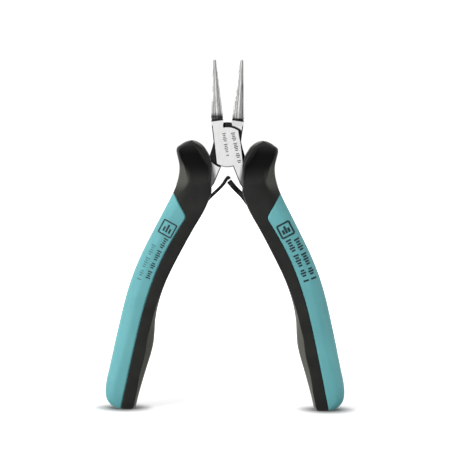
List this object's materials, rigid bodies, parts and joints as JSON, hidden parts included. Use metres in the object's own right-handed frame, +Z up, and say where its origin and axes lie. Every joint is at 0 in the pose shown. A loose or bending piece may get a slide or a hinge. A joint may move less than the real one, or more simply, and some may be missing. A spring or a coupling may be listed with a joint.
{
  "type": "round nose pliers",
  "caption": "Slim round nose pliers with smooth conical jaws, a lap joint, opening leaf springs and two-part horned grips, standing open on the grip ends.",
  "frame": {"origin": "midway between the grip ends on the surface they stand on, at the middle of the thickness", "axes": "+Z up from the grip ends to the jaw tips, -Y out of the front face, +X to the right seen from the front; the pivot axis runs along Y"},
  "size_m": [0.091, 0.0152, 0.1329],
  "materials": {
    "jaw_steel": "satin ground steel",
    "screw_steel": "turned steel",
    "spring_steel": "black oxide spring steel",
    "core_plastic": "satin moulded teal plastic",
    "cover_rubber": "soft-touch dark grey elastomer"
  },
  "bodies": {
    "front_body": {"front_half": "jaw_steel", "pivot_screw": "screw_steel", "right_leaf_spring": "spring_steel", "right_spring_rivet": "screw_steel", "right_grip_core": "core_plastic", "right_grip_cover": "cover_rubber"},
    "back_body": {"back_half": "jaw_steel", "left_leaf_spring": "spring_steel", "left_spring_rivet": "screw_steel", "left_grip_core": "core_plastic", "left_grip_cover": "cover_rubber"}
  },
  "joints": [
    {"name": "pivot", "type": "hinge", "parent": "front_body", "child": "back_body", "pos_m": [0, 0, 0.1], "axis": [0, -1, 0], "range_deg": [0, 15.7], "stiffness_Nm_per_rad": 0.6, "springref_deg": -14.32, "deforming": ["left_leaf_spring", "right_leaf_spring"]}
  ]
}
